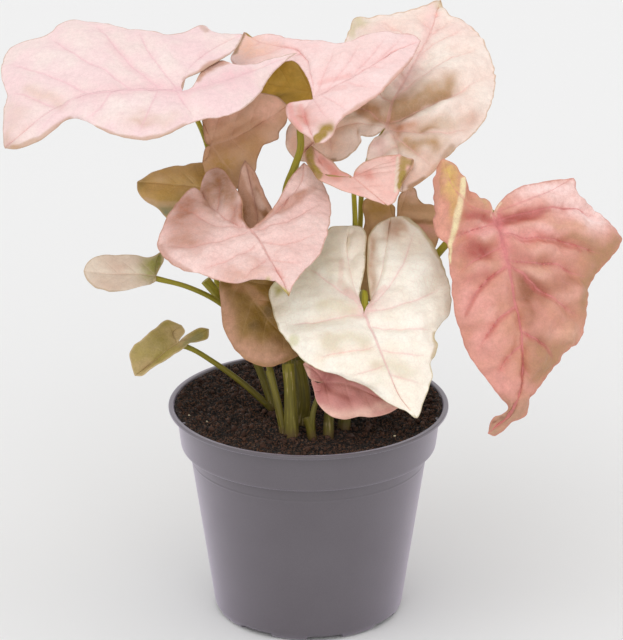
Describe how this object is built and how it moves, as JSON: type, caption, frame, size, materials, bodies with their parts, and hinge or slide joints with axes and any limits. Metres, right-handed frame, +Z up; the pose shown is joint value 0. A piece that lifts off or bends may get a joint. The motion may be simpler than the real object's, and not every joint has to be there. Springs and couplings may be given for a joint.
{
  "type": "potted arrowhead plant",
  "caption": "Arrowhead plant with pink, cream and bronze arrow-shaped leaves on slender green stalks, growing in a round grey plastic nursery pot.",
  "frame": {"origin": "on the pot's axis, on the surface that the pot stands on", "axes": "+Z up along the pot's axis, -Y towards the plant's front, +X to the right as seen from the front"},
  "size_m": [0.2621, 0.1744, 0.2449],
  "materials": {
    "pot": "matte",
    "soil": "matte",
    "stalk": "satin",
    "blade_pale_pink": "satin",
    "blade_pink": "satin",
    "blade_cream": "satin",
    "blade_ivory": "satin",
    "blade_salmon": "satin",
    "blade_rose": "satin",
    "blade_bronze": "satin",
    "blade_olive": "satin"
  },
  "bodies": {
    "root": {"pot": "pot", "soil": "soil", "shoot_front": "stalk", "shoot_centre": "stalk", "shoot_stub": "stalk", "shoot_right_front": "stalk", "shoot_right": "stalk", "shoot_side": "stalk", "shoot_back": "stalk", "leaf_top_left": "blade_pale_pink", "leaf_top_centre": "blade_pink", "leaf_top_right": "blade_cream", "leaf_centre_small": "blade_salmon", "leaf_centre_left": "blade_salmon", "leaf_shaded_left": "blade_bronze", "leaf_unfurling": "blade_bronze", "leaf_left_olive": "blade_olive", "leaf_far_left": "blade_cream", "leaf_low_left": "blade_olive", "leaf_low_centre": "blade_bronze", "leaf_front_ivory": "blade_ivory", "leaf_front_rose": "blade_rose", "leaf_right": "blade_salmon", "leaf_inner_right": "blade_bronze", "leaf_back_olive": "blade_olive"}
  },
  "joints": []
}
